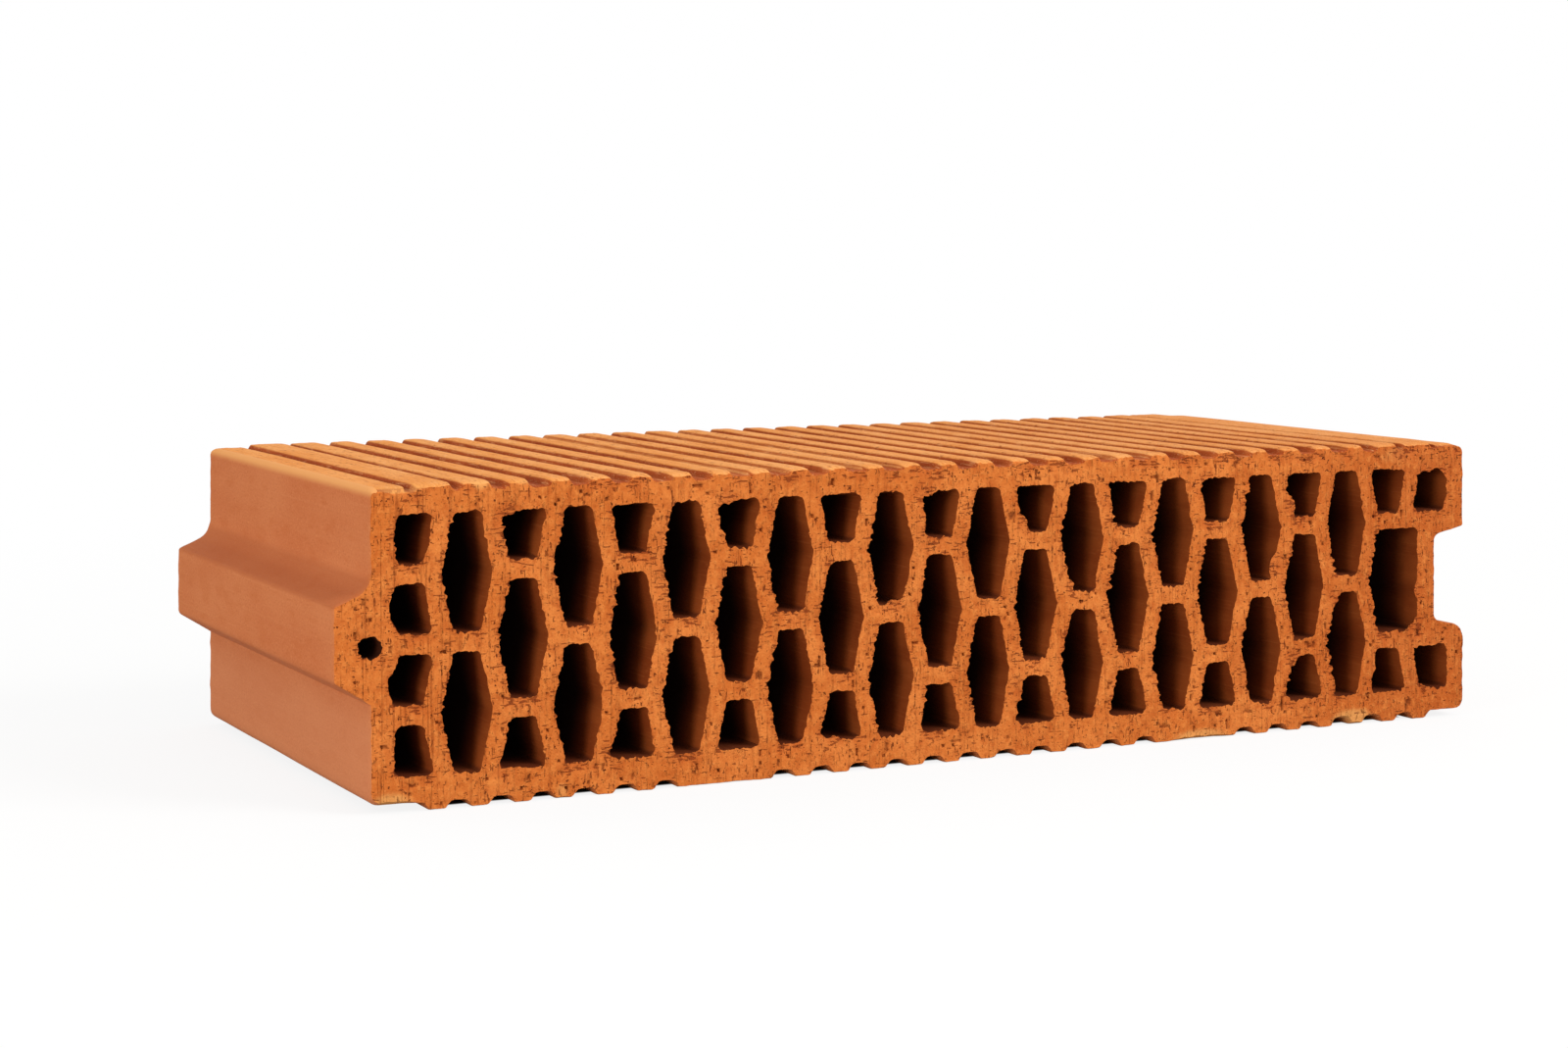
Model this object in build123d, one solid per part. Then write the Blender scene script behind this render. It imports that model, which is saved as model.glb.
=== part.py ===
# A perforated fired-clay partition block with a tongue and a groove, extruded and cut to length by
# wire. It is one fired piece, so it is one solid. It lies on one of its two ribbed broad faces.
# Frame: +X towards the grooved end, +Y along the extrusion, +Z up. The origin is on the floor under
# the middle of the block's overall box. Lengths are millimetres.
# The section is drawn with x from the tongue end of the body and y up from the body's mid height.

import os

from build123d import *

# Body, without the tongue and the ribs
body_length = 500.0
extruded_depth = 219.0
body_thickness = 116.0
corner_radius = 4.0
tongue_end_top_radius = 3.0

# Tongue; its heights are measured from the body's mid height
tongue_reach = 14.0
tongue_tip_above_middle = 15.6
tongue_tip_below_middle = 12.0
tongue_root_above_middle = 21.5
tongue_root_below_middle = 20.8
tongue_root_radius = 9.0
tongue_top_radius = 1.5
tongue_bottom_radius = 3.0
tongue_hole_radius = 4.1

# Groove, centred on the body's mid height
groove_depth = 15.6
groove_floor_width = 36.8
groove_mouth_width = 43.4
groove_floor_radius = 3.5
groove_upper_lip_radius = 1.2
groove_lower_lip_radius = 6.0

# Ribs on both broad faces; near each end of the lower face a few are merged into a flat band, and
# the two outermost ribs at each end of the upper face are wider than the rest
first_lower_rib_offset = 26.0
last_lower_rib_offset = 24.0
upper_rib_offset = 24.5
wanted_rib_pitch = 16.7
rib_sink = 1.0
lower_rib_width = 10.8
lower_rib_height = 3.0
lower_rib_flank_run = 2.0
lower_rib_crest_radius = 1.8
upper_rib_width = 11.2
upper_rib_height = 2.6
upper_rib_flank_run = 1.4
upper_rib_rise = 1.0
upper_rib_field_margin = 14.0
upper_end_rib_width = 16.8
upper_second_rib_width = 14.0
ribs_before_band_count = 6
ribs_in_band_count = 3

# Holes: columns of paired tall hexagons alternate with one hexagon between two trapezoids
shell_thickness = 10.2
row_web = 7.6
first_hexagon_offset = 37.4
last_hexagon_offset = 63.0
wanted_column_pitch = 22.2
flank_web = 7.9
trapezoid_web = 8.6
hexagon_flank_run = 4.7
hole_corner_radius = 2.0

# Holes beside the tongue and beside the groove
end_wall = 10.0
bulge_reach = 3.4
bulge_setback = 2.4
bulge_height_share = 0.53
bulge_radius = 8.0
small_hole_corner_radius = 2.4
groove_wall = 10.0
lip_wall = 9.5
lip_hole_corner_radius = 3.0

# Worked out from the sizes above
half_thickness = body_thickness / 2
hexagon_height = half_thickness - shell_thickness - row_web / 2
pair_centre = (row_web + hexagon_height) / 2
outer_edge = half_thickness - shell_thickness
inner_edge = hexagon_height / 2 + row_web

hexagon_span = body_length - first_hexagon_offset - last_hexagon_offset
column_steps = 2 * round(hexagon_span / (2 * wanted_column_pitch))
column_pitch = hexagon_span / column_steps
hexagon_side = (column_pitch - flank_web + hexagon_flank_run) / 2
hexagon_top = hexagon_side - hexagon_flank_run


def closed_outline(points, radii):
    """Face inside a polygon whose corners are rounded, one radius for each point."""
    return make_face(FilletPolyline(*points, radius=radii, close=True))


def rounded_outline(corners):
    """Face inside a polygon given as pairs of a point and its corner's radius."""
    return closed_outline([point for point, radius in corners], [radius for point, radius in corners])


def upside_down(points):
    """The same points turned over about the body's mid height."""
    return [(x, -y) for x, y in points]


def body_outline():
    """Body with its tongue and groove, without ribs or holes."""
    groove_floor = body_length - groove_depth
    corners = [
        ((0, -half_thickness), corner_radius),
        ((body_length, -half_thickness), corner_radius),
        ((body_length, -groove_mouth_width / 2), groove_lower_lip_radius),
        ((groove_floor, -groove_floor_width / 2), groove_floor_radius),
        ((groove_floor, groove_floor_width / 2), groove_floor_radius),
        ((body_length, groove_mouth_width / 2), groove_upper_lip_radius),
        ((body_length, half_thickness), corner_radius),
        ((0, half_thickness), tongue_end_top_radius),
        ((0, tongue_root_above_middle), tongue_root_radius),
        ((-tongue_reach, tongue_tip_above_middle), tongue_top_radius),
        ((-tongue_reach, -tongue_tip_below_middle), tongue_bottom_radius),
        ((0, -tongue_root_below_middle), 0),
    ]
    return rounded_outline(corners)


def rib(width, height, flank_run, crest_radius):
    """Section of one rib standing on y = 0, with its root sunk in the body."""
    base = width / 2
    crest = base - flank_run
    left_side = [(-base, -rib_sink), (-base, 0), (-crest, height)]
    right_side = [(crest, height), (base, 0), (base, -rib_sink)]
    return closed_outline(left_side + right_side, [0, 0, crest_radius, crest_radius, 0, 0])


def rib_row(first_offset, last_offset):
    """Evenly spaced rib centres along the body, near the wanted pitch."""
    span = body_length - first_offset - last_offset
    steps = round(span / wanted_rib_pitch)
    return [first_offset + span * step / steps for step in range(steps + 1)]


def upper_ribs():
    """Ribs of the upper face, standing on the floor of a shallow field."""
    floor = half_thickness + upper_rib_rise - upper_rib_height
    row = rib_row(upper_rib_offset, upper_rib_offset)
    end_widths = [upper_end_rib_width, upper_second_rib_width]
    inner_widths = [upper_rib_width] * (len(row) - 2 * len(end_widths))
    ribs = []
    for x, width in zip(row, end_widths + inner_widths + end_widths[::-1]):
        section = rib(width, upper_rib_height, upper_rib_flank_run, 0)
        ribs.append(Pos(x, floor) * section)
    return ribs


def upper_rib_field():
    """Shallow field that is sunk in the upper face before its ribs are added."""
    length = body_length - 2 * upper_rib_field_margin
    depth = upper_rib_height - upper_rib_rise
    return Pos(body_length / 2, half_thickness) * Rectangle(length, 2 * depth)


def lower_ribs():
    """Ribs of the lower face, with two flat bands where neighbouring ribs are merged."""
    row = rib_row(first_lower_rib_offset, last_lower_rib_offset)
    band_start = ribs_before_band_count
    band_end = band_start + ribs_in_band_count
    bands = [row[band_start:band_end], row[-band_end:-band_start]]
    singles = [[x] for x in row if x not in bands[0] + bands[1]]
    ribs = []
    for merged in singles + bands:
        width = merged[-1] - merged[0] + lower_rib_width
        section = rib(width, lower_rib_height, lower_rib_flank_run, lower_rib_crest_radius)
        middle = (merged[0] + merged[-1]) / 2
        ribs.append(Pos(middle, -half_thickness) * Rot(0, 0, 180) * section)
    return ribs


def column_x(column):
    """Centre of a column of holes, counted from the first pair of tall hexagons."""
    return first_hexagon_offset + column * column_pitch


def pair_half_width(y):
    """Half the width of the upper tall hexagon of a pair at a height above the middle."""
    return hexagon_side - hexagon_flank_run * abs(y - pair_centre) / (hexagon_height / 2)


def hexagon():
    """A tall hexagon about its own centre."""
    half = hexagon_height / 2
    points = [
        (-hexagon_top, -half),
        (hexagon_top, -half),
        (hexagon_side, 0),
        (hexagon_top, half),
        (-hexagon_top, half),
        (-hexagon_side, 0),
    ]
    corner_radii = [hole_corner_radius, hole_corner_radius, 0]
    return closed_outline(points, corner_radii + corner_radii)


def trapezoid_half_width(y):
    """Half the width of a trapezoid, which follows the flanks of the hexagons beside it."""
    return column_pitch - trapezoid_web - pair_half_width(y)


def mirrored_holes(points, radii):
    """A hole above the middle and its mirror image below."""
    return [closed_outline(points, radii), closed_outline(upside_down(points), radii)]


def trapezoids(column):
    """The upper and lower trapezoids of a column, wide side outwards."""
    x = column_x(column)
    outer = trapezoid_half_width(outer_edge)
    inner = trapezoid_half_width(inner_edge)
    wide_side = [(x - outer, outer_edge), (x + outer, outer_edge)]
    points = wide_side + [(x + inner, inner_edge), (x - inner, inner_edge)]
    return mirrored_holes(points, [hole_corner_radius] * len(points))


def hexagon_columns():
    """The columns between the ends: pairs of hexagons, and hexagons between trapezoids."""
    holes = []
    for column in range(column_steps + 1):
        if column % 2 == 0:
            holes += [Pos(column_x(column), side * pair_centre) * hexagon() for side in (-1, 1)]
        else:
            holes += [Pos(column_x(column), 0) * hexagon()]
            holes += trapezoids(column)
    return holes


def tongue_end_holes():
    """Four small holes behind the tongue and the round one inside it."""
    right = {y: first_hexagon_offset - trapezoid_web - pair_half_width(y)
             for y in (outer_edge, inner_edge, hexagon_height / 2, row_web / 2)}
    top = hexagon_height / 2
    low = row_web / 2
    bulge_height = low + bulge_height_share * (top - low)
    corner = [(end_wall, outer_edge), (right[outer_edge], outer_edge), (right[inner_edge], inner_edge),
              (end_wall, inner_edge)]
    bulged = [(end_wall, top), (right[top], top), (right[low], low), (end_wall + bulge_setback, low)]
    bulge = (end_wall - bulge_reach, bulge_height)
    holes = mirrored_holes(corner, [small_hole_corner_radius] * len(corner))
    bulged_radii = [small_hole_corner_radius] * len(bulged) + [bulge_radius]
    holes += mirrored_holes(bulged + [bulge], bulged_radii)
    return holes + [Circle(tongue_hole_radius)]


def groove_end_holes():
    """The wide hole behind the groove, its two trapezoids and one hole in each lip."""
    column = column_steps + 1
    x = column_x(column)
    half = hexagon_height / 2
    straight_side = body_length - groove_depth - groove_wall
    wide_corners = [
        ((x - hexagon_side, 0), 0),
        ((x - hexagon_top, half), hole_corner_radius),
        ((straight_side, half), hole_corner_radius),
        ((straight_side, -half), hole_corner_radius),
        ((x - hexagon_top, -half), hole_corner_radius),
    ]
    lip_outer = x + trapezoid_half_width(outer_edge) + trapezoid_web
    lip_inner = x + trapezoid_half_width(inner_edge) + trapezoid_web
    lip_side = body_length - lip_wall
    lip = [(lip_outer, outer_edge), (lip_side, outer_edge), (lip_side, inner_edge), (lip_inner, inner_edge)]
    holes = [rounded_outline(wide_corners)]
    holes += mirrored_holes(lip, [lip_hole_corner_radius] * len(lip))
    return holes + trapezoids(column)


def clay_block():
    """The whole section, extruded along Y and set down on its lower ribs."""
    section = body_outline() - upper_rib_field() + upper_ribs() + lower_ribs()
    section -= tongue_end_holes() + hexagon_columns() + groove_end_holes()
    middle_x = (body_length - tongue_reach) / 2
    section = Pos(-middle_x, half_thickness + lower_rib_height) * section
    return extrude(Plane.XZ.offset(-extruded_depth / 2) * section, amount=extruded_depth)


os.makedirs("parts", exist_ok=True)
export_step(clay_block(), "parts/clay_block.step")
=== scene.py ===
# A fired clay partition block with a tongue and a groove, lying on its ribs.
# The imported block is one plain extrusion. This script pulls a new skin from its section, and gives it what
# the wire, the die and the kiln leave on a real block: torn lips, drag lines, pits, chips and blunted ribs.
# Frame: +X towards the grooved end, -Y towards the photographed cut face, +Z up. Sizes are in millimetres.

import math
import random

import bmesh
import bpy
from mathutils import Matrix, Vector, kdtree, noise


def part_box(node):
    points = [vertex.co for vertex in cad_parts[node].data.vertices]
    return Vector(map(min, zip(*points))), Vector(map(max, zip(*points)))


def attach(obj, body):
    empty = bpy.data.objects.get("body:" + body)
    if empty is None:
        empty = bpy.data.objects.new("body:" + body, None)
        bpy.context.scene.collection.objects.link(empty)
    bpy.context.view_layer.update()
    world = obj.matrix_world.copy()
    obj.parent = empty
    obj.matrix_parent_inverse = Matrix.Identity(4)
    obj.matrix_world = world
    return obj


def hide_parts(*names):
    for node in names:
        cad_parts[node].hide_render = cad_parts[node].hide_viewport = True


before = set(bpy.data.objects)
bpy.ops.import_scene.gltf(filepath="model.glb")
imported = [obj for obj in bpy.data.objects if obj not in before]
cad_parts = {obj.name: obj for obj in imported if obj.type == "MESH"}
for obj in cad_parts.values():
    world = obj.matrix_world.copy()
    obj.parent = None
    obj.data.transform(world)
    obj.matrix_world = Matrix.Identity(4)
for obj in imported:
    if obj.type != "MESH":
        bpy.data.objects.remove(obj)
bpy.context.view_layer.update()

MM = 0.001
low, high = (Vector(corner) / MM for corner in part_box("clay_block"))

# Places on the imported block: cut faces, ends of the body without its tongue, broad faces and groove floors
front, back = low.y, high.y
tongue_reach = 14.0
body_left = low.x + tongue_reach
body_right = high.x
body_bottom = 3.0
body_top = 119.0
upper_groove_floor = 117.4

# Heights from which points are set closer for the upper ribs, and from which the upper face is worn
fine_spacing_height = upper_groove_floor - 1.0
worn_top_height = upper_groove_floor - 1.5

# Points this near to a cut face lie on it, points this near to each other are one, and shorter edges merge
face_tolerance = 0.01
double_distance = 0.001
shortest_edge = 0.7

# Spacing of the new skin's points, and the rows of them behind a cut face
torn_spacing = 0.75
rim_spacing = 0.9
skin_spacing = 1.2
upper_rib_spacing = 0.8
plain_spacing = 2.0
long_edge_ratio = 1.5
halvings = 7
hole_rows = (1.0, 3.4)
skin_rows = (0.7, 1.8, 3.5, 6.0, 9.5, 15.0, 23.0, 34.0)
skin_middle_rows = 6

# Net over a cut face: size of its cells, how far their corners stray, and its distance from a rim
cell_size = 1.5
cell_jitter = 0.27
cell_clearance = 0.95

# Seed of the random draws for the nets and the pits
draw_seed = 5

# Parts of the new skin, as written in its point layer
HOLE, SKIN, NET = 0, 1, 2

# Kinds of surface, in the order of the block's materials
CUT_FACE, RIBBED_SKIN, END_SKIN, HOLE_WALL = 0, 1, 2, 3

# Where each kind of surface starts: lean and depth of a cut face, and the edges of the ribbed skin
cut_face_lean = 0.6
cut_face_depth = 2.5
ribbed_skin_margin = 3.0
ribbed_skin_heights = (6.0, 114.0)
sharp_edge = math.radians(42.0)

# Softening of the ribs: how far it keeps from the ends, at which heights, and how much
rib_end_margin = 8.0
lower_rib_heights = (1.2, 10.0)
upper_rib_height = 110.0
lower_rib_softness = 0.5
upper_rib_softness = 0.4

# What the wear layer says of untouched clay: no pit shade, not torn, no chip
unworn = (0.0, 0.0, 0.0, 1.0)

# Seeds of the wear on the photographed cut face and on the back one
front_seed, back_seed = 11.0, 47.0

# Torn lips of the holes: depth behind the cut face, mean tear, and the lumps and tear of each kind of mark
lip_depth = 3.2
lip_fade = 1.3
lip_tear = 0.45
rough_stretch = (55.0, 40.0)
jagged_stretch = (7.0, 7.0)
tooth, tooth_tear = (4.3, 3.4), 3.4
small_tooth, small_tooth_tear = (1.2, 1.0), 1.3
between_teeth = 0.4
wander, wander_tear = (8.0, 8.0), 0.7
bite, bite_tear = (3.6, 3.6), 4.5
nick, nick_tear = (1.9, 1.9), 0.7
small_nick, small_nick_tear = (0.9, 0.9), 0.5
crumb, crumb_tear = (2.6, 2.6), 2.4
small_crumb, small_crumb_tear = (1.1, 1.1), 0.7
between_crumbs = 0.6

# Outer skin: lumps and heights of the die's waves, wear of the edges, and worn ends of the upper ribs
die_wave, die_wave_height = (7.0, 40.0), 0.16
long_wave, long_wave_height = (30.0, 90.0), 0.12
crest_wave, crest_wave_height = (2.5, 9.0), 0.12
edge_lump = (3.5, 3.5)
edge_wear, edge_wear_stray = 0.45, 0.5
edge_wear_depth = 2.0
rib_end_length, rib_end_stray = 6.5, 4.0
rib_end_drop = 1.3
rib_end_lump = (9.0, 1.0)
rib_end_grain = (5.0, 5.0)
back_rib_end_share = 0.3
rib_crest_rise = 1.6

# Relief of a cut face: lumps and heights of its waves, of the wire's drag lines and of its grit
face_wave, face_wave_height = (35.0, 30.0), 0.22
drag_line, drag_line_height = (1.6, 18.0), 0.10
face_grit, face_grit_height = (2.2, 3.0), 0.08

# Torn clay on a cut face: its patches, how far from a rim it fades, its cracks, and how deep both sink
torn_patch = (11.0, 8.0)
torn_under_hole = (1.5, 5.5)
torn_beside_hole = (0.5, 2.8)
crack, small_crack = (4.5, 0.9), (1.4, 1.2)
torn_sink, crack_sink = 0.15, 1.1

# Kinds of pits in a cut face: share of cells that start one, width of its rim and its depth
pit_kinds = [(0.020, 0.46, 0.5), (0.017, 0.42, 0.9), (0.006, 0.3, 1.3)]
pit_patch = (13.0, 11.0)
pit_growth = 0.3
pit_floor_jitter = 0.1

# Smears that close a corner of a hole on the photographed face: x and z of the body, reach and how far in
smear_depth = 5.0
smears = [
    (53.5, 105.5, 5.0, 2.6), (143.0, 106.0, 5.0, 2.0), (230.0, 105.0, 6.0, 3.2), (277.0, 90.5, 5.0, 3.0),
    (407.5, 93.0, 5.0, 2.2), (299.5, 64.5, 4.5, 2.0), (217.0, 63.0, 5.0, 2.4), (189.0, 12.0, 6.0, 2.0),
    (408.5, 28.5, 5.0, 2.4), (430.5, 52.5, 4.5, 2.0), (400.0, 67.5, 6.0, 2.4), (363.5, 105.0, 4.5, 1.6),
    (13.5, 62.5, 3.5, 1.6), (187.5, 79.0, 4.0, 1.6), (346.0, 11.5, 6.0, 1.6), (474.0, 36.5, 6.0, 2.6),
    (474.5, 53.0, 5.0, 1.4), (441.5, 79.5, 5.0, 1.5), (440.5, 37.0, 4.5, 1.2), (480.0, 105.0, 5.0, 2.2),
    (490.0, 105.0, 4.5, 2.0), (490.5, 90.0, 3.5, 1.2), (478.5, 11.5, 4.0, 1.2),
]

# Pale chips along the edges of the photographed face: x and z of the body, reach along both, and strength
chip_depth = 7.0
chip_hollow, chip_hollow_depth = 1.1, 4.0
chips = [
    (8.0, 0.0, 12.0, 7.0, 1.0), (75.0, 0.0, 4.0, 5.0, 0.6), (12.0, 117.0, 13.0, 4.5, 0.9),
    (43.0, 116.5, 5.0, 4.0, 0.9), (60.0, 117.0, 5.0, 3.0, 0.7), (362.0, -2.0, 20.0, 5.0, 0.9),
    (440.0, 0.0, 16.0, 6.0, 1.0), (462.0, 112.0, 12.0, 6.0, 0.4),
]

# Grooves of the upper face that clay has partly filled: x of the body and how high
groove_half_width = 4.5
groove_fill_lump = (20.0, 35.0)
filled_grooves = [
    (149.8, 0.9), (166.5, 0.8), (199.9, 0.8), (216.6, 0.7), (316.8, 0.7), (333.5, 0.6), (433.7, 0.6),
]

# Floor: its radius in metres, how far in from the block's ends and cut faces it is painted dark as shadow,
# and how that fades
floor_radius = 6.0
end_rim_of_shade = 30.0
cut_rim_of_shade = 9.0
shade_fade = 2.5

# Camera fitted to the photograph: place in metres, turn about Z, lens and shift of the picture
camera_place = (-0.5776, -1.1269, 0.2141)
camera_turn = math.radians(-26.27)
camera_lens = 67.06
camera_shift = -0.1896

# Soft boxes: place and width in metres, and power in watts; all are aimed at the middle of the block
lamp_aim = (0.0, 0.0, 0.06)
soft_boxes = {
    "key_soft_box": ((1.5, -1.9, 1.6), 1.2, 50.0),
    "side_soft_box": ((-2.2, -1.2, 0.4), 0.8, 23.0),
}

# Settings that many nodes share
SOFT = {"interpolation_type": "SMOOTHSTEP"}
TIMES = {"operation": "MULTIPLY"}
TIMES_PLUS = {"operation": "MULTIPLY_ADD"}
LARGER = {"operation": "MAXIMUM"}
SIZE_ONLY = {"operation": "ABSOLUTE"}
LESS = {"operation": "SUBTRACT"}
COLOURS = {"data_type": "RGBA"}


def photo_camera():
    """The camera of the photograph, level, with the picture taken below the horizon."""
    data = bpy.data.cameras.new("photo_camera")
    data.sensor_fit = "HORIZONTAL"
    data.sensor_width = 36.0
    data.lens = camera_lens
    data.shift_y = camera_shift
    data.clip_end = 50.0
    camera = bpy.data.objects.new("photo_camera", data)
    camera.location = camera_place
    camera.rotation_euler = (math.radians(90.0), 0.0, camera_turn)
    bpy.context.scene.collection.objects.link(camera)
    bpy.context.scene.camera = camera


def smoothstep(edge0, edge1, value):
    """Soft step from 0 to 1 between two values."""
    t = min(1.0, max(0.0, (value - edge0) / (edge1 - edge0)))
    return t * t * (3.0 - 2.0 * t)


def grit(x, z, lump, seed):
    """Smooth noise from -1 to 1 whose lumps have the two sizes given."""
    return noise.noise(Vector((x / lump[0], z / lump[1], seed)))


def is_wall(face):
    """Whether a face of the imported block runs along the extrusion."""
    return abs(face.normal.y) < 0.5


def on_cut_face(vert, y):
    """Whether a point lies on the plane of a cut face."""
    return abs(vert.co.y - y) < face_tolerance


def section_rims(node):
    """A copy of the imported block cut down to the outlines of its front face."""
    bm = bmesh.new()
    bm.from_mesh(node.data)
    bmesh.ops.scale(bm, vec=(1.0 / MM,) * 3, verts=bm.verts)
    bmesh.ops.remove_doubles(bm, verts=bm.verts, dist=double_distance)
    bm.normal_update()
    into_clay = bm.verts.layers.float_vector.new("into_clay")
    wear = bm.verts.layers.float_color.new("wear")
    bm.verts.layers.int.new("part")
    for vert in bm.verts:
        walls = [face.normal for face in vert.link_faces if is_wall(face)]
        vert[into_clay] = -sum(walls, Vector()).normalized()
        vert[wear] = unworn
    rims = set()
    for edge in bm.edges:
        if all(on_cut_face(vert, front) for vert in edge.verts) and any(map(is_wall, edge.link_faces)):
            rims.add(edge)
    bmesh.ops.delete(bm, geom=[edge for edge in bm.edges if edge not in rims], context="EDGES_FACES")
    bmesh.ops.delete(bm, geom=[vert for vert in bm.verts if not vert.link_edges], context="VERTS")
    bmesh.ops.remove_doubles(bm, verts=bm.verts, dist=shortest_edge)
    return bm


def wanted_spacing(edge, into_clay, part):
    """Plain end walls get fewer points than ribs, and the torn sides of holes get more."""
    way_x = (edge.verts[0][into_clay].x + edge.verts[1][into_clay].x) / 2
    way_z = (edge.verts[0][into_clay].z + edge.verts[1][into_clay].z) / 2
    if edge.verts[0][part] == HOLE:
        return torn_spacing if min(way_x, way_z) < -0.3 else rim_spacing
    if edge.verts[0].co.z > fine_spacing_height:
        return upper_rib_spacing
    return plain_spacing if abs(way_x) > 0.9 else skin_spacing


def space_out(bm):
    """Halve the long edges of the outlines until the points are evenly near."""
    into_clay = bm.verts.layers.float_vector["into_clay"]
    part = bm.verts.layers.int["part"]
    for _ in range(halvings):
        long_edges = [edge for edge in bm.edges
                      if edge.calc_length() > long_edge_ratio * wanted_spacing(edge, into_clay, part)]
        bmesh.ops.subdivide_edges(bm, edges=long_edges, cuts=1)


def mark_outline(bm):
    """Mark the points of the outer outline; the rest are rims of holes."""
    part = bm.verts.layers.int["part"]
    waiting = [min(bm.verts, key=lambda vert: vert.co.x)]
    while waiting:
        vert = waiting.pop()
        vert[part] = SKIN
        waiting += [edge.other_vert(vert) for edge in vert.link_edges if edge.other_vert(vert)[part] != SKIN]


def soften_ribs(bm):
    """Round the sharp corners at the feet of the ribs and on the upper crests, as the die leaves them."""
    part = bm.verts.layers.int["part"]
    ribbed = [vert for vert in bm.verts if vert[part] == SKIN
              and body_left + rib_end_margin < vert.co.x < body_right - rib_end_margin]
    low_roots = [vert for vert in ribbed if lower_rib_heights[0] < vert.co.z < lower_rib_heights[1]]
    high_ribs = [vert for vert in ribbed if vert.co.z > upper_rib_height]
    for corners, factor in ((low_roots, lower_rib_softness), (high_ribs, upper_rib_softness)):
        bmesh.ops.smooth_vert(
            bm, verts=corners, factor=factor, use_axis_x=True, use_axis_y=False, use_axis_z=True)


def pull_back(bm, edges, depths):
    """Pull outlines through the block, leaving a row of points at every depth."""
    reached = 0.0
    for depth in depths:
        made = bmesh.ops.extrude_edge_only(bm, edges=edges)["geom"]
        row = {item for item in made if isinstance(item, bmesh.types.BMVert)}
        edges = [item for item in made if isinstance(item, bmesh.types.BMEdge) and set(item.verts) <= row]
        bmesh.ops.translate(bm, verts=list(row), vec=(0.0, depth - reached, 0.0))
        reached = depth


def both_ends(rows, middle_rows):
    """Depths measured from both cut faces, with even rows between."""
    length = back - front
    inner = length - 2 * rows[-1]
    middle = [rows[-1] + inner * (step + 1) / (middle_rows + 1) for step in range(middle_rows)]
    return list(rows) + middle + [length - depth for depth in reversed(rows)] + [length]


def torn_lip(x, z, into, seed):
    """How far a lip is torn back into the clay; the tongue side and the floor tear most."""
    roughness = 0.8 + 0.6 * grit(x, z, rough_stretch, seed + 3.0)
    tongue_side = smoothstep(0.2, 0.8, -into.x)
    floor_side = smoothstep(0.3, 0.9, -into.z)
    jagged = 0.15 + 1.15 * smoothstep(-0.3, 0.4, grit(x, z, jagged_stretch, seed + 4.0))
    teeth = abs(grit(x, z, tooth, seed + 5.0)) * tooth_tear
    teeth += small_tooth_tear * grit(x, z, small_tooth, seed + 6.0)
    teeth -= between_teeth
    wandering = wander_tear * grit(x, z, wander, seed + 7.0)
    bites = max(0.0, grit(x, z, bite, seed + 8.0) - 0.3) * bite_tear
    nicks = nick_tear * grit(x, z, nick, seed + 9.0) + small_nick_tear * grit(x, z, small_nick, seed + 10.0)
    crumbs = abs(grit(x, z, crumb, seed + 12.0)) * crumb_tear
    crumbs += small_crumb_tear * grit(x, z, small_crumb, seed + 14.0)
    crumbs -= between_crumbs
    tear = tongue_side * teeth * jagged + nicks + wandering + bites * (0.3 + 0.7 * tongue_side)
    tear += floor_side * crumbs
    return lip_tear + roughness * tear


def smear_at(x, z):
    """The smear of the photographed face that closes a hole most at a place, and by how much."""
    found, closed = None, 0.0
    for smear in smears:
        smear_x, smear_z, reach, amount = smear
        away = math.hypot(x - body_left - smear_x, z - body_bottom - smear_z)
        share = 1.0 - smoothstep(0.0, 1.15 * reach, away)
        if amount * share > closed:
            found, closed = smear, amount * share
    return found, closed


def smear_ways(bm):
    """The common way that each smear pushes clay into its hole."""
    into_clay = bm.verts.layers.float_vector["into_clay"]
    part = bm.verts.layers.int["part"]
    ways = {smear: Vector() for smear in smears}
    for vert in bm.verts:
        if vert[part] == HOLE and on_cut_face(vert, front):
            smear, closed = smear_at(vert.co.x, vert.co.z)
            if smear:
                ways[smear] -= closed * vert[into_clay]
    return {smear: way.normalized() for smear, way in ways.items()}


def chip_at(x, z):
    """1 in the middle of a pale chip of the photographed face, 0 outside."""
    found = 0.0
    for chip_x, chip_z, reach_x, reach_z, strength in chips:
        away = math.hypot((x - body_left - chip_x) / reach_x, (z - body_bottom - chip_z) / reach_z)
        found = max(found, strength * (1.0 - smoothstep(0.3, 1.0, away)))
    return found


def wear_lips(bm):
    """Tear the lips of the holes, close some corners with smears, and wear the outer edges."""
    into_clay = bm.verts.layers.float_vector["into_clay"]
    part = bm.verts.layers.int["part"]
    wear = bm.verts.layers.float_color["wear"]
    ways = smear_ways(bm)
    for vert in bm.verts:
        x, y, z = vert.co
        into = vert[into_clay].copy()
        on_front = y < 0.0
        depth = y - front if on_front else back - y
        seed = front_seed if on_front else back_seed
        if vert[part] == HOLE:
            near = max(0.0, 1.0 - depth / lip_depth) ** lip_fade
            if near > 0.0:
                vert.co += into * torn_lip(x, z, into, seed) * near
                smear, closed = smear_at(x, z)
                if smear and on_front:
                    vert.co += ways[smear] * closed * max(0.0, 1.0 - depth / smear_depth)
        else:
            vert.co += into * worn_skin(x, y, z, into, depth, seed)
            vert.co.z = max(0.0, vert.co.z)
            if on_front and depth < chip_depth:
                vert[wear] = (0.0, 0.0, chip_at(x, z) * (1.0 - depth / chip_depth), 1.0)


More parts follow.
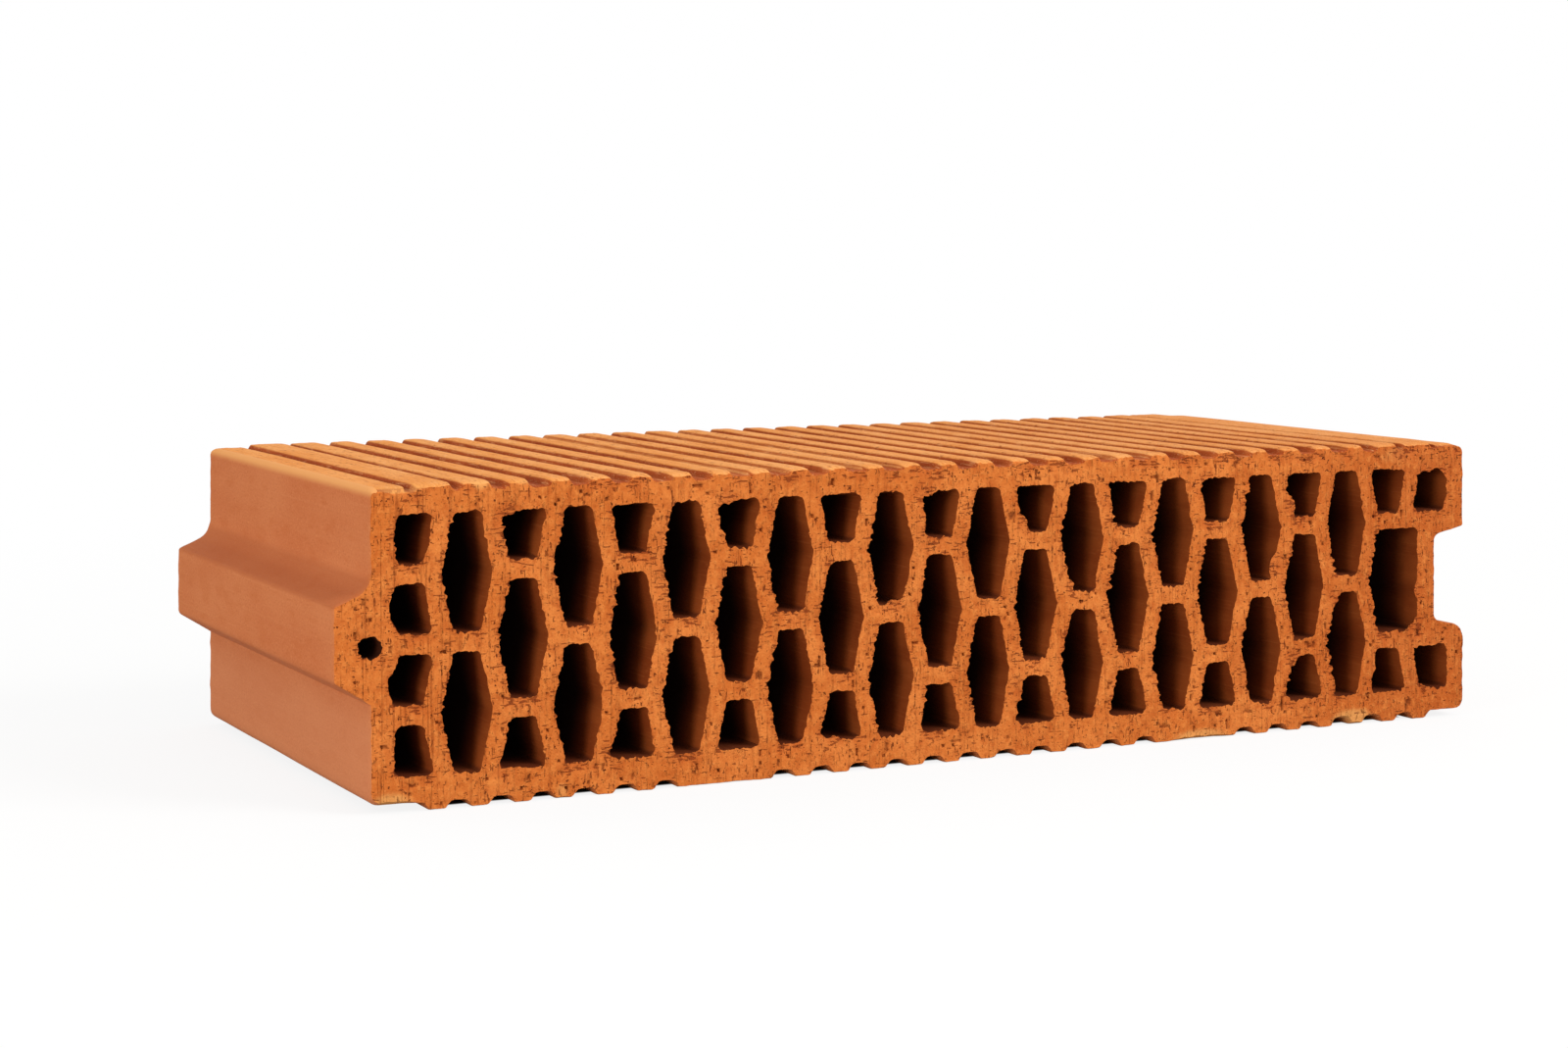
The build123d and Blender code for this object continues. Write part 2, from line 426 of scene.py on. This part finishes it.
def worn_skin(x, y, z, into, depth, seed):
    """How far the outer skin lies under the plain section."""
    along = x + z
    wave = die_wave_height * grit(along, y, die_wave, 21.0)
    wave += long_wave_height * grit(along, y, long_wave, 23.0)
    edge = edge_wear + edge_wear_stray * grit(x, z, edge_lump, seed)
    edge *= max(0.0, 1.0 - depth / edge_wear_depth) ** 2
    if y < 0.0 and depth < chip_hollow_depth:
        edge += chip_hollow * chip_at(x, z) * (1.0 - depth / chip_hollow_depth) ** 2
    blunt = 0.0
    if z > worn_top_height and abs(into.z) > 0.1:
        share = 1.0 if y < 0.0 else back_rib_end_share
        crest = smoothstep(upper_groove_floor, upper_groove_floor + rib_crest_rise, z)
        length = rib_end_length + rib_end_stray * grit(x, 0.0, rib_end_lump, seed + 2.0)
        blunt = share * crest * rib_end_drop * max(0.0, 1.0 - depth / length) ** 1.6
        blunt *= 0.8 + 0.5 * grit(x, y, rib_end_grain, seed + 4.0)
        wave += crest_wave_height * grit(x, y, crest_wave, 29.0)
        wave -= (1.0 - crest) * groove_fill(x, y)
    return wave + edge + blunt


def groove_fill(x, y):
    """How high clay fills a groove of the upper face at a place."""
    filled = 0.0
    for groove_x, height in filled_grooves:
        near = 1.0 - smoothstep(0.6 * groove_half_width, groove_half_width, abs(x - body_left - groove_x))
        filled = max(filled, height * near * (0.8 + 0.5 * grit(x, y, groove_fill_lump, 33.0)))
    return filled


def rim_tree(bm, y):
    """The points of all rims on one cut face, and the way into the clay at each."""
    into_clay = bm.verts.layers.float_vector["into_clay"]
    rim = [vert for vert in bm.verts if vert.is_boundary and on_cut_face(vert, y)]
    tree = kdtree.KDTree(len(rim))
    for index, vert in enumerate(rim):
        tree.insert(vert.co, index)
    tree.balance()
    return tree, [vert[into_clay].copy() for vert in rim]


def net_over(bm, y, rims, rng):
    """A net of small cells over one cut face, kept clear of every rim."""
    tree, ways_in = rims
    part = bm.verts.layers.int["part"]
    wear = bm.verts.layers.float_color["wear"]
    width, height = high.x - low.x, high.z - low.z
    middle = Matrix.Translation(((low.x + high.x) / 2, y, (low.z + high.z) / 2))
    upright = Matrix.Rotation(math.radians(90.0), 4, "X")
    stretch = Matrix.Diagonal((width, height, 1.0, 1.0))
    net = bmesh.ops.create_grid(
        bm, x_segments=round(width / cell_size), y_segments=round(height / cell_size), size=0.5,
        matrix=middle @ upright @ stretch)["verts"]
    off_clay = []
    for vert in net:
        vert[part] = NET
        vert[wear] = unworn
        vert.co.x += rng.uniform(-cell_jitter, cell_jitter)
        vert.co.z += rng.uniform(-cell_jitter, cell_jitter)
        point, index, away = tree.find(vert.co)
        if away < cell_clearance or (vert.co - point).dot(ways_in[index]) <= 0.0:
            off_clay.append(vert)
    bmesh.ops.delete(bm, geom=off_clay, context="VERTS")
    trim_net(bm, y)


def trim_net(bm, y):
    """Take off the net's loose points and knots, until its border is a plain loop."""
    part = bm.verts.layers.int["part"]
    knots = True
    while knots:
        knots = []
        for vert in bm.verts:
            if vert[part] == NET and on_cut_face(vert, y):
                open_edges = sum(1 for edge in vert.link_edges if edge.is_boundary)
                if not vert.link_faces or open_edges > 2 or any(edge.is_wire for edge in vert.link_edges):
                    knots.append(vert)
        bmesh.ops.delete(bm, geom=knots, context="VERTS")


def close_cut_face(bm, y, outward, rng):
    """Close one cut face with the net and a fill out to the rims."""
    rims = rim_tree(bm, y)
    net_over(bm, y, rims, rng)
    open_edges = [edge for edge in bm.edges
                  if edge.is_boundary and all(on_cut_face(vert, y) for vert in edge.verts)]
    filled = bmesh.ops.triangle_fill(
        bm, edges=open_edges, use_beauty=True, normal=(0.0, outward, 0.0))["geom"]
    ring = [face for face in filled if isinstance(face, bmesh.types.BMFace)]
    in_ring = set(ring)
    inner = [edge for edge in filled if isinstance(edge, bmesh.types.BMEdge)
             and len(edge.link_faces) == 2 and set(edge.link_faces) <= in_ring]
    bmesh.ops.beautify_fill(bm, faces=ring, edges=inner, method="ANGLE")
    wire_relief(bm, y, outward, rims)


def wire_relief(bm, y, outward, rims):
    """Give one cut face the waves, drag lines and torn cracks that the wire leaves."""
    tree, ways_in = rims
    wear = bm.verts.layers.float_color["wear"]
    on_front = outward < 0.0
    seed = front_seed if on_front else back_seed
    for vert in [vert for vert in bm.verts if on_cut_face(vert, y)]:
        x, z = vert.co.x, vert.co.z
        _, index, away = tree.find(vert.co)
        way = ways_in[index]
        under_hole = smoothstep(0.3, 0.8, -way.z) * (1.0 - smoothstep(*torn_under_hole, away))
        beside_hole = smoothstep(0.3, 0.8, -way.x) + 0.3 * smoothstep(0.3, 0.8, way.x)
        beside_hole *= 1.0 - smoothstep(*torn_beside_hole, away)
        patch = smoothstep(-0.15, 0.35, grit(x, z, torn_patch, seed + 13.0))
        torn = min(1.0, patch * under_hole + 0.6 * beside_hole)
        if on_front:
            torn = max(torn, 0.8 * min(1.0, smear_at(x, z)[1]))
        cracks = abs(grit(x, z, crack, seed + 15.0)) + 0.6 * abs(grit(x, z, small_crack, seed + 16.0))
        lines = drag_line_height * grit(x, z, drag_line, seed + 18.0)
        relief = face_wave_height * grit(x, z, face_wave, seed + 17.0)
        relief += lines + face_grit_height * grit(x, z, face_grit, seed + 19.0)
        relief -= torn * (torn_sink + crack_sink * cracks)
        vert.co.y += outward * relief
        vert[wear] = (0.0, torn, chip_at(x, z) if on_front else 0.0, 1.0)


def pit_cut_face(bm, outward, rng):
    """Press the pits of a wire-cut face into groups of one to a few cells of the net."""
    part = bm.verts.layers.int["part"]
    wear = bm.verts.layers.float_color["wear"]
    cells = [face for face in bm.faces
             if len(face.verts) == 4 and face.normal.y * outward > cut_face_lean
             and all(vert[part] == NET for vert in face.verts)]
    whole = dict.fromkeys(cells)
    for share, rim, depth in pit_kinds:
        floors = []
        for face in rng.sample(cells, round(share * len(cells))):
            middle = face.calc_center_median()
            if grit(middle.x, middle.z, pit_patch, 61.0 * outward) < rng.uniform(-0.6, 0.3):
                continue
            while face in whole:
                del whole[face]
                floors.append(face)
                beside = [other for edge in face.edges for other in edge.link_faces if other in whole]
                if beside and rng.random() < pit_growth:
                    face = rng.choice(beside)
        bmesh.ops.inset_region(bm, faces=floors, thickness=rim, depth=-depth, use_even_offset=False)
        for vert in dict.fromkeys(vert for face in floors for vert in face.verts):
            vert.co.x += rng.uniform(-pit_floor_jitter, pit_floor_jitter)
            vert.co.z += rng.uniform(-pit_floor_jitter, pit_floor_jitter)
            # The pit value darkens these floors in the material, as painted shade
            vert[wear] = (rng.uniform(0.3, 1.0), vert[wear].y, vert[wear].z, 1.0)


def name_faces(bm):
    """Give every face its kind of surface, and mark the sharp edges."""
    part = bm.verts.layers.int["part"]
    ribbed_low, ribbed_high = ribbed_skin_heights
    for face in bm.faces:
        middle = face.calc_center_median()
        between_ends = body_left + ribbed_skin_margin < middle.x < body_right - ribbed_skin_margin
        depth = min(middle.y - front, back - middle.y)
        if abs(face.normal.y) > cut_face_lean and depth < cut_face_depth:
            face.material_index = CUT_FACE
        elif all(vert[part] == HOLE for vert in face.verts):
            face.material_index = HOLE_WALL
        elif between_ends and not ribbed_low < middle.z < ribbed_high:
            face.material_index = RIBBED_SKIN
        else:
            face.material_index = END_SKIN
    for edge in bm.edges:
        edge.smooth = edge.calc_face_angle(0.0) < sharp_edge


def block_skin():
    """The whole new skin of the block, as one closed mesh."""
    rng = random.Random(draw_seed)
    bm = section_rims(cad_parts["clay_block"])
    mark_outline(bm)
    space_out(bm)
    soften_ribs(bm)
    part = bm.verts.layers.int["part"]
    outline = [edge for edge in bm.edges if edge.verts[0][part] == SKIN]
    lips = [edge for edge in bm.edges if edge.verts[0][part] == HOLE]
    pull_back(bm, lips, both_ends(hole_rows, 0))
    pull_back(bm, outline, both_ends(skin_rows, skin_middle_rows))
    wear_lips(bm)
    for y, outward in ((front, -1.0), (back, 1.0)):
        close_cut_face(bm, y, outward, rng)
    bmesh.ops.recalc_face_normals(bm, faces=bm.faces)
    name_faces(bm)
    for outward in (-1.0, 1.0):
        pit_cut_face(bm, outward, rng)
    for face in bm.faces:
        face.smooth = True
    bm.normal_update()
    bmesh.ops.scale(bm, vec=(MM,) * 3, verts=bm.verts)
    mesh = bpy.data.meshes.new("fired_clay_block")
    bm.to_mesh(mesh)
    bm.free()
    piece = bpy.data.objects.new("fired_clay_block", mesh)
    bpy.context.scene.collection.objects.link(piece)
    return piece


def linear(hex_colour):
    """An sRGB hex colour as linear RGBA."""
    parts = [int(hex_colour[place:place + 2], 16) / 255.0 for place in (1, 3, 5)]
    return [p / 12.92 if p <= 0.04045 else ((p + 0.055) / 1.055) ** 2.4 for p in parts] + [1.0]


def add_node(tree, kind, settings=None, inputs=None):
    """Add a node, set its settings, and set or link its inputs."""
    node = tree.nodes.new("ShaderNode" + kind)
    for name, value in (settings or {}).items():
        setattr(node, name, value)
    for socket, value in (inputs or {}).items():
        if isinstance(value, bpy.types.NodeSocket):
            tree.links.new(value, node.inputs[socket])
        else:
            node.inputs[socket].default_value = value
    return node


def clay_start(name, roughness):
    """A bare matt clay: its material, node tree and shader, and places on the block in metres."""
    material = bpy.data.materials.new(name)
    material.use_nodes = True
    tree = material.node_tree
    shader = tree.nodes["Principled BSDF"]
    shader.inputs["Roughness"].default_value = roughness
    shader.inputs["IOR"].default_value = 1.5
    shader.inputs["Specular IOR Level"].default_value = 0.1
    place = add_node(tree, "TexCoord").outputs["Object"]
    return material, tree, shader, place


def clay_marks(tree, place, lumps):
    """The noise of each kind of mark, from the sizes of its lumps along X, Y and Z and its octaves."""
    marks = {}
    for name, (sizes, octaves) in lumps.items():
        scale = [1.0 / (size * MM) for size in sizes]
        spread = add_node(tree, "Mapping", None, {"Vector": place, "Scale": scale}).outputs[0]
        lumpy = add_node(tree, "TexNoise", None, {"Vector": spread, "Scale": 1.0, "Detail": octaves})
        marks[name] = lumpy.outputs[0]
    return marks


def coated(tree, colour, coats):
    """A colour under coats, each a value, the levels where it starts and is full, a share and a colour."""
    for value, levels, share, hex_colour in coats:
        # A coat without levels is as strong as its value
        start, full = levels or (0.0, 1.0)
        fade = "SMOOTHSTEP" if levels else "LINEAR"
        cover = add_node(tree, "MapRange", {"interpolation_type": fade},
                         {"Value": value, "From Min": start, "From Max": full, "To Max": share}).outputs[0]
        mix = add_node(tree, "Mix", COLOURS, {0: cover, 6: colour, 7: linear(hex_colour)})
        colour = mix.outputs[2]
    return colour


def finish_clay(tree, shader, colour, reliefs):
    """Give a clay its colour and, one over the other, its fine reliefs with their heights."""
    tree.links.new(colour, shader.inputs["Base Color"])
    surface = add_node(tree, "NewGeometry").outputs["Normal"]
    for mark, height in reliefs:
        relief = {"Height": mark, "Strength": 1.0, "Distance": height * MM, "Normal": surface}
        surface = add_node(tree, "Bump", None, relief).outputs[0]
    tree.links.new(surface, shader.inputs["Normal"])


def wire_cut_clay():
    """Fired clay cut by a wire while wet: open, gritty and matt, scored along the wire's way down."""
    material, tree, shader, place = clay_start("wire_cut_fired_clay", 0.92)
    wear = add_node(tree, "Attribute", {"attribute_name": "wear"}).outputs["Color"]
    pit_painted_shade, torn, chip = add_node(tree, "SeparateColor", None, {0: wear}).outputs
    x = add_node(tree, "SeparateXYZ", None, {0: place}).outputs[0]
    # Real grit is about 0.3 mm; the grain is drawn at 0.7 mm, because finer would not show in the render
    marks = clay_marks(tree, place, {
        "cloud": ((26.0, 26.0, 20.0), 3.0),
        "blotch": ((6.0, 6.0, 7.0), 3.0),
        "mottle": ((2.6, 2.6, 3.4), 4.0),
        "grain": ((0.7, 0.7, 0.7), 2.0),
        "gritty": ((10.0, 10.0, 8.0), 2.0),
        "score": ((1.0, 6.0, 45.0), 2.0),
        "scratch": ((0.9, 6.0, 3.6), 2.0),
        "crack": ((3.4, 6.0, 0.9), 2.0),
        "pore": ((1.3, 6.0, 1.4), 1.0),
    })
    # Torn clay has more cracks
    marks["crack"] = add_node(tree, "Math", TIMES_PLUS, {0: torn, 1: 0.16, 2: marks["crack"]}).outputs[0]
    # Levels of the noise where a mark starts and where it is full
    sharp_marks = {"gritty": (0.42, 0.6), "score": (0.58, 0.68), "scratch": (0.62, 0.69),
                   "crack": (0.67, 0.71), "pore": (0.68, 0.73)}
    for name, (start, full) in sharp_marks.items():
        levels = {"Value": marks[name], "From Min": start, "From Max": full}
        marks[name] = add_node(tree, "MapRange", SOFT, levels).outputs[0]
    # Scores are strongest at the tongue end, the face is redder at the other end, and grit lies in patches
    scored_end = {"From Min": (body_left + 60.0) * MM, "From Max": (body_left + 15.0) * MM}
    dragged = add_node(tree, "MapRange", SOFT, {"Value": x, **scored_end, "To Min": 0.15, "To Max": 0.5})
    scored = add_node(tree, "Math", TIMES, {0: marks["score"], 1: dragged.outputs[0]}).outputs[0]
    scratch_painted_shade = add_node(tree, "Math", TIMES, {0: marks["scratch"], 1: marks["gritty"]}).outputs[0]
    pore_painted_shade = add_node(tree, "Math", TIMES, {0: marks["pore"], 1: marks["gritty"]}).outputs[0]
    redder_end = ((body_right - 130.0) * MM, (body_right - 20.0) * MM)
    half_chip = add_node(tree, "Math", TIMES, {0: chip, 1: 0.5}).outputs[0]
    broken = add_node(tree, "Math", TIMES_PLUS, {0: chip, 1: marks["mottle"], 2: half_chip}).outputs[0]
    colour = coated(tree, linear("#CC6D2D"), [
        (marks["cloud"], (0.35, 0.65), 1.0, "#DA7C39"),
        (marks["blotch"], (0.5, 0.68), 0.4, "#B4551F"),
        (x, redder_end, 0.5, "#AB4D1A"),
        (marks["mottle"], (0.5, 0.72), 0.5, "#E58A42"),
        (marks["mottle"], (0.48, 0.3), 0.5, "#B2541E"),
        (marks["grain"], (0.6, 0.75), 0.3, "#EE9F57"),
        (marks["grain"], (0.42, 0.28), 0.4, "#A3480F"),
        (torn, None, 0.35, "#AC481A"),
        (broken, (0.1, 1.0), 0.75, "#E3A05A"),
        (scored, None, 1.0, "#8F3F16"),
        # Scratches, cracks and pores are small hollows; their dark tones are painted shade
        (scratch_painted_shade, None, 0.85, "#6E2B0F"),
        (marks["crack"], None, 0.7, "#732B0F"),
        (pore_painted_shade, None, 0.9, "#5A220C"),
        # Pit floors are painted dark as painted shade, over the real hollows
        (pit_painted_shade, None, 0.8, "#5E240D"),
    ])
    finish_clay(tree, shader, colour, [
        (marks["score"], -0.2), (marks["scratch"], -0.35), (marks["crack"], -0.35), (marks["pore"], -0.4),
        (marks["mottle"], 0.5), (marks["grain"], 0.3),
    ])
    return material


def ribbed_clay():
    """Die-drawn ribs: crests rubbed pale and dusty, with painted light where they face up; grooves redder,
    and grooves and flanks darkened as painted shade.
    """
    material, tree, shader, place = clay_start("ribbed_fired_clay", 0.88)
    wear = add_node(tree, "Attribute", {"attribute_name": "wear"}).outputs["Color"]
    chip = add_node(tree, "SeparateColor", None, {0: wear}).outputs[2]
    x, _, z = add_node(tree, "SeparateXYZ", None, {0: place}).outputs
    normal = add_node(tree, "NewGeometry").outputs["Normal"]
    upright = add_node(tree, "SeparateXYZ", None, {0: normal}).outputs[2]
    upright = add_node(tree, "Math", SIZE_ONLY, {0: upright}).outputs[0]
    # Drag lines and grain are drawn coarser than on the real skin, so that they show in the render
    marks = clay_marks(tree, place, {
        "cloud": ((22.0, 40.0, 22.0), 3.0),
        "drawn": ((0.9, 14.0, 0.9), 3.0),
        "crumb": ((1.8, 3.2, 1.8), 3.0),
        "grain": ((0.7, 1.1, 0.7), 2.0),
    })
    # Level clay is rubbed pale on the upper crests, and less on the lower ones; keeping it to faces turned up
    # is painted light, and leaves the flanks in the groove colour as painted shade
    upper_crest = {"From Min": (body_top - 1.1) * MM, "From Max": (body_top - 0.2) * MM}
    lower_crest = {"From Min": 1.6 * MM, "From Max": 0.3 * MM, "To Max": 0.4}
    upper = add_node(tree, "MapRange", SOFT, {"Value": z, **upper_crest}).outputs[0]
    lower = add_node(tree, "MapRange", SOFT, {"Value": z, **lower_crest}).outputs[0]
    rubbed = add_node(tree, "Math", LARGER, {0: upper, 1: lower}).outputs[0]
    level = add_node(tree, "MapRange", SOFT, {"Value": upright, "From Min": 0.5, "From Max": 0.9}).outputs[0]
    crest = add_node(tree, "Math", TIMES, {0: rubbed, 1: level}).outputs[0]
    # The underside is paler in its grooves, with less painted shade, and crests are painted darker away from
    # the tongue as painted shade
    underside = (12.0 * MM, 8.0 * MM)
    painted_shade_far_end = ((body_left + 120.0) * MM, body_right * MM)
    groove = coated(tree, linear("#9C4218"), [
        (marks["cloud"], (0.35, 0.65), 1.0, "#B05322"),
        (z, underside, 0.85, "#BD6633"),
    ])
    ridge_dust_and_light = coated(tree, linear("#E59146"), [
        (marks["cloud"], (0.3, 0.7), 1.0, "#EEA25B"),
        (x, painted_shade_far_end, 0.3, "#C97B47"),
    ])
    colour = add_node(tree, "Mix", COLOURS, {0: crest, 6: groove, 7: ridge_dust_and_light}).outputs[2]
    colour = coated(tree, colour, [
        (marks["drawn"], (0.55, 0.7), 0.4, "#B05725"),
        (marks["drawn"], (0.45, 0.3), 0.35, "#F2B274"),
        (marks["grain"], (0.58, 0.74), 0.35, "#F4BA80"),
        (marks["grain"], (0.42, 0.28), 0.45, "#A85224"),
        (marks["crumb"], (0.6, 0.72), 0.6, "#8E4019"),
        (chip, None, 0.6, "#E9AA62"),
    ])
    finish_clay(tree, shader, colour, [(marks["drawn"], 0.45), (marks["crumb"], -0.3), (marks["grain"], 0.2)])
    return material


def drawn_clay():
    """Clay smoothed by the die: a closed, even, slightly pink skin with faint draw lines."""
    material, tree, shader, place = clay_start("die_smoothed_fired_clay", 0.8)
    z = add_node(tree, "SeparateXYZ", None, {0: place}).outputs[2]
    normal = add_node(tree, "NewGeometry").outputs["Normal"]
    painted_shade_facing_up = add_node(tree, "SeparateXYZ", None, {0: normal}).outputs[2]
    # Grain is drawn coarser than on the real skin, so that it shows in the render
    marks = clay_marks(tree, place, {
        "cloud": ((40.0, 70.0, 26.0), 2.0),
        "drawn": ((1.6, 160.0, 1.6), 2.0),
        "grain": ((0.8, 1.4, 0.8), 2.0),
        "mottle": ((5.0, 14.0, 5.0), 3.0),
    })
    # Up-facing ledges are painted darker as painted shade, the lower part is painted paler as painted light,
    # and the upper edge is paler
    lower_part_painted_light = (50.0 * MM, 25.0 * MM)
    upper_edge = ((body_top - 4.0) * MM, (body_top - 0.8) * MM)
    colour = coated(tree, linear("#C46E3F"), [
        (marks["cloud"], (0.3, 0.7), 1.0, "#CB7848"),
        (marks["drawn"], (0.5, 0.8), 0.1, "#DE9661"),
        (marks["grain"], (0.55, 0.75), 0.35, "#DC9059"),
        (marks["grain"], (0.45, 0.28), 0.35, "#A95526"),
        (marks["mottle"], (0.52, 0.7), 0.3, "#BC6230"),
        (painted_shade_facing_up, (0.02, 0.5), 0.6, "#A9592F"),
        (z, lower_part_painted_light, 0.4, "#D68C62"),
        (z, upper_edge, 0.9, "#EBA460"),
    ])
    finish_clay(tree, shader, colour, [(marks["drawn"], 0.05), (marks["grain"], 0.1)])
    return material


def hole_wall_clay_and_painted_shade():
    """Hole walls drawn over the cores: smooth, lined along the block, and painted dark away from the mouths
    as painted shade.
    """
    material, tree, shader, place = clay_start("hole_wall_fired_clay_painted_shade", 0.85)
    x, y, _ = add_node(tree, "SeparateXYZ", None, {0: place}).outputs
    from_middle = add_node(tree, "Math", SIZE_ONLY, {0: y}).outputs[0]
    normal = add_node(tree, "NewGeometry").outputs["Normal"]
    painted_shade_facing_up = add_node(tree, "SeparateXYZ", None, {0: normal}).outputs[2]
    marks = clay_marks(tree, place, {
        "cloud": ((12.0, 30.0, 12.0), 3.0),
        "drawn": ((0.9, 50.0, 0.9), 3.0),
    })
    # Painted shade: dark on the floors of the holes, darkest in the tongue's hole and inside the block
    tongue_hole_painted_shade = ((body_left + 7.0) * MM, (body_left + 5.0) * MM)
    inside_painted_shade = ((back - 0.5) * MM, (back - 28.0) * MM)
    # The walls' base colour is darker than the faces' partly as painted shade
    colour = coated(tree, linear("#7C350F"), [
        (marks["cloud"], (0.35, 0.65), 1.0, "#8C4217"),
        (marks["drawn"], (0.52, 0.76), 0.18, "#B86532"),
        (painted_shade_facing_up, (0.2, 0.8), 0.65, "#3A150A"),
        (x, tongue_hole_painted_shade, 0.85, "#1C0A05"),
        (from_middle, inside_painted_shade, 1.0, "#260D06"),
    ])
    finish_clay(tree, shader, colour, [(marks["drawn"], 0.12)])
    return material


def seen_by_eye(tree):
    """1 for rays that the eye follows, straight, mirrored or through glass, and 0 for bounced light."""
    path = add_node(tree, "LightPath").outputs
    seen = path["Is Camera Ray"]
    for ray in ("Is Glossy Ray", "Is Transmission Ray"):
        seen = add_node(tree, "Math", LARGER, {0: seen, 1: path[ray]}).outputs[0]
    return seen


def floor_paint():
    """Matt paint, white to the eye away from the block, shaded near it, painted dark as shadow under it, and
    grey as a source of light.
    """
    material = bpy.data.materials.new("pale_floor_paint")
    material.use_nodes = True
    tree = material.node_tree
    tree.nodes.remove(tree.nodes["Principled BSDF"])
    # How far a place is from the box under the block where the floor is painted dark as shadow
    middle = [(body_right + body_left) / 2 * MM, 0.0, 0.0]
    size = [((body_right - body_left) / 2 - end_rim_of_shade) * MM, (back - cut_rim_of_shade) * MM, 0.0]
    beside = add_node(tree, "TexCoord").outputs["Object"]
    beside = add_node(tree, "VectorMath", LESS, {0: beside, 1: middle}).outputs[0]
    beside = add_node(tree, "VectorMath", SIZE_ONLY, {0: beside}).outputs[0]
    beside = add_node(tree, "VectorMath", LESS, {0: beside, 1: size}).outputs[0]
    beside = add_node(tree, "VectorMath", LARGER, {0: beside, 1: [0.0] * 3}).outputs[0]
    away = add_node(tree, "VectorMath", {"operation": "LENGTH"}, {0: beside}).outputs["Value"]
    # White takes over from the shadowed paint, for the most part near the block and wholly far from it
    seen = seen_by_eye(tree)
    clear_rim = {"From Min": 0.0, "From Max": shade_fade * MM}
    wide_shadow = {"From Min": 0.1, "From Max": 0.9, "To Min": 0.86, "To Max": 1.0}
    clear = add_node(tree, "MapRange", SOFT, {"Value": away, **clear_rim}).outputs[0]
    whiteness = add_node(tree, "MapRange", SOFT, {"Value": away, **wide_shadow}).outputs[0]
    whiteness = add_node(tree, "Math", TIMES, {0: whiteness, 1: clear}).outputs[0]
    whiteness = add_node(tree, "Math", TIMES, {0: whiteness, 1: seen}).outputs[0]
    # Under the block the paint is dark, a painted shadow
    pale = coated(tree, linear("#5A5652"), [(clear, None, 1.0, "#F6F5F2")])
    shade = add_node(tree, "Mix", COLOURS, {0: seen, 6: linear("#A8A6A2"), 7: pale}).outputs[2]
    paint = add_node(tree, "BsdfDiffuse", None, {"Color": shade}).outputs[0]
    white = add_node(tree, "Emission", None, {"Color": linear("#FFFFFF"), "Strength": 1.0}).outputs[0]
    mix = add_node(tree, "MixShader", None, {0: whiteness, 1: paint, 2: white}).outputs[0]
    tree.links.new(mix, tree.nodes["Material Output"].inputs["Surface"])
    return material


def pale_floor():
    """A wide round floor under the block."""
    bm = bmesh.new()
    bmesh.ops.create_circle(bm, cap_ends=True, segments=96, radius=floor_radius)
    mesh = bpy.data.meshes.new("pale_floor")
    bm.to_mesh(mesh)
    bm.free()
    mesh.materials.append(floor_paint())
    floor = bpy.data.objects.new("pale_floor", mesh)
    bpy.context.scene.collection.objects.link(floor)


def white_room():
    """White to the eye, dim and even as a light."""
    world = bpy.data.worlds.new("white_room")
    bpy.context.scene.world = world
    world.use_nodes = True
    tree = world.node_tree
    light = {"Value": seen_by_eye(tree), "To Min": 0.75, "To Max": 1.0}
    strength = add_node(tree, "MapRange", None, light).outputs[0]
    tree.nodes["Background"].inputs["Color"].default_value = linear("#FFFFFF")
    tree.links.new(strength, tree.nodes["Background"].inputs["Strength"])


def soft_lamp(name, place, width, power):
    """A square soft box aimed at the middle of the block."""
    data = bpy.data.lights.new(name, "AREA")
    data.shape = "SQUARE"
    data.size = width
    data.energy = power
    lamp = bpy.data.objects.new(name, data)
    lamp.location = place
    lamp.rotation_euler = (Vector(lamp_aim) - Vector(place)).to_track_quat("-Z", "Y").to_euler()
    bpy.context.scene.collection.objects.link(lamp)


photo_camera()
block = block_skin()
for clay in (wire_cut_clay(), ribbed_clay(), drawn_clay(), hole_wall_clay_and_painted_shade()):
    block.data.materials.append(clay)
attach(block, "root")
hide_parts("clay_block")

pale_floor()
white_room()
for name, (place, width, power) in soft_boxes.items():
    soft_lamp(name, place, width, power)

scene = bpy.context.scene
scene.view_settings.view_transform = "Standard"
